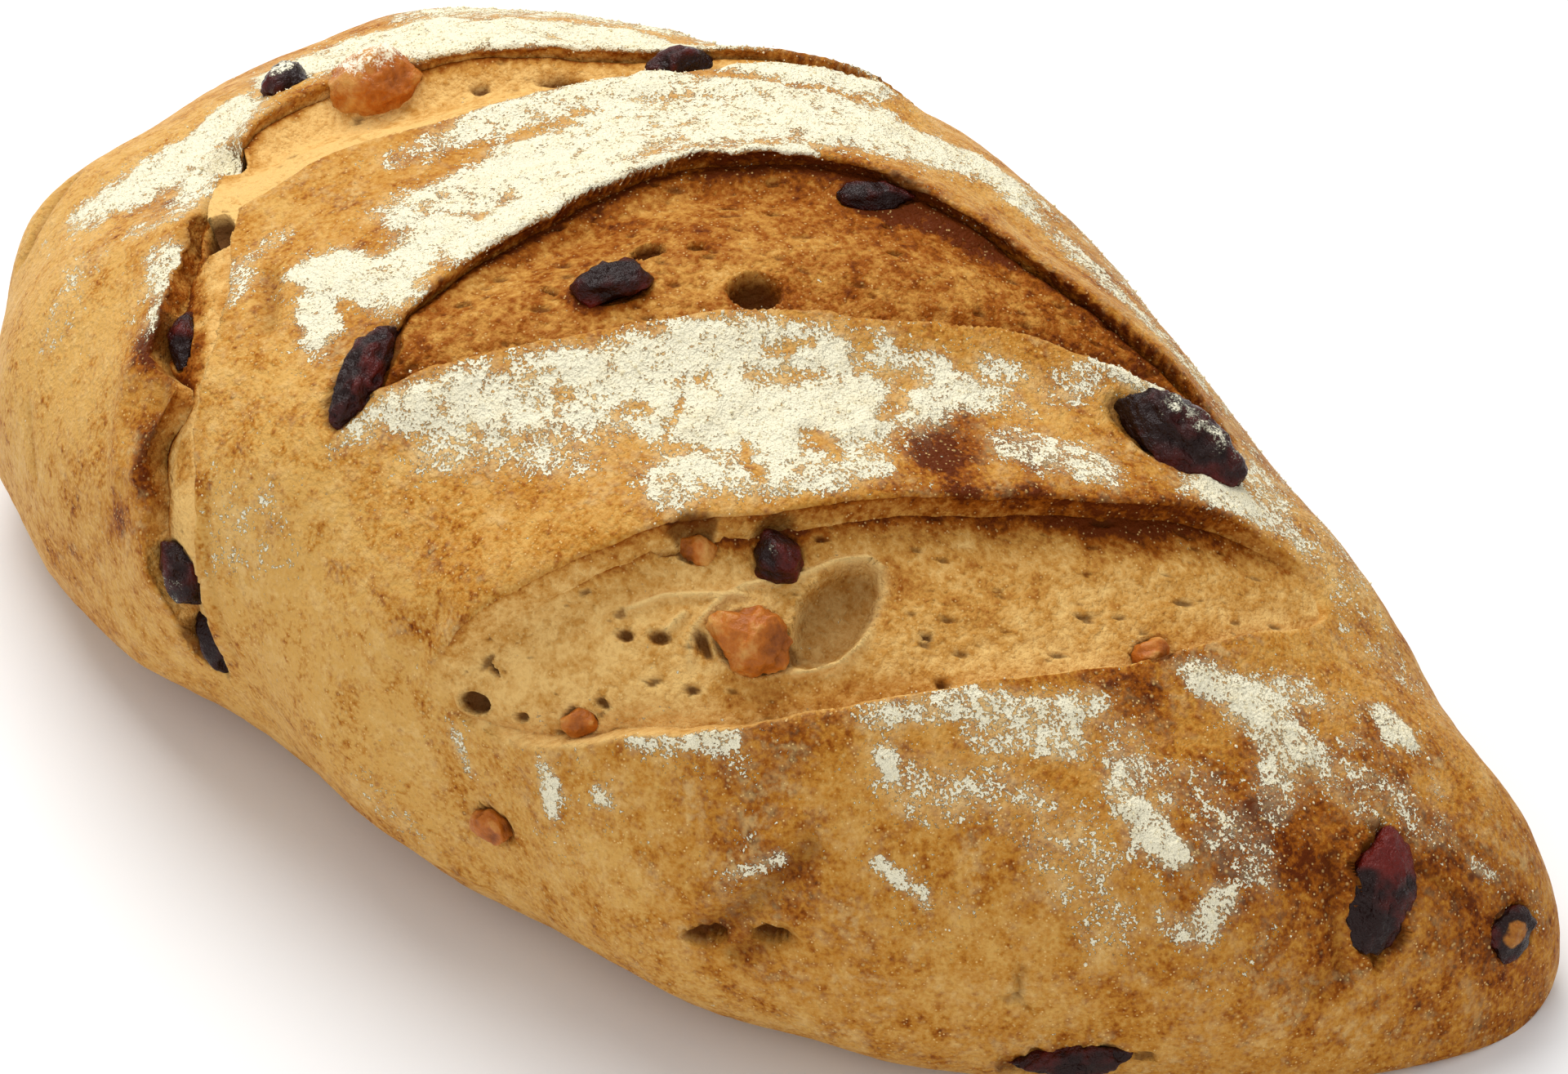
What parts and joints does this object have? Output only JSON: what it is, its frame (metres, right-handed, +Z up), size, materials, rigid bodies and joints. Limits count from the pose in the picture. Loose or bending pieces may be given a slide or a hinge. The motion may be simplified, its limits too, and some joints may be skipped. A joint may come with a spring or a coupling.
{
  "type": "cranberry walnut bread",
  "caption": "Hand-shaped oval loaf with a pointed end, long slanted slashes, a torn side, and cranberry and walnut pieces in its floured crust.",
  "frame": {"origin": "centre of the loaf's bounding box at the flat base it rests on", "axes": "+X along the loaf towards its pointed end, +Y away from the flank that the picture shows, +Z up through the slashed top"},
  "size_m": [0.24, 0.1313, 0.0748],
  "materials": {
    "crust": "golden brown floured crust, matte",
    "cranberry": "dark red wrinkled fruit, slightly glossy",
    "walnut": "roasted nut, satin"
  },
  "bodies": {
    "root": {"loaf": "crust", "cranberry_crown": "cranberry", "cranberry_middle_corner": "cranberry", "cranberry_middle_ear": "cranberry", "cranberry_band": "cranberry", "cranberry_hollow": "cranberry", "cranberry_tip": "cranberry", "cranberry_point": "cranberry", "cranberry_foot": "cranberry", "cranberry_torn_high": "cranberry", "cranberry_torn_low": "cranberry", "cranberry_torn_foot": "cranberry", "cranberry_far_corner": "cranberry", "cranberry_far_slash": "cranberry", "walnut_hollow": "walnut", "walnut_near_ear": "walnut", "walnut_far_slash": "walnut", "walnut_near_crest": "walnut", "walnut_flank": "walnut", "walnut_near_corner": "walnut"}
  },
  "joints": []
}
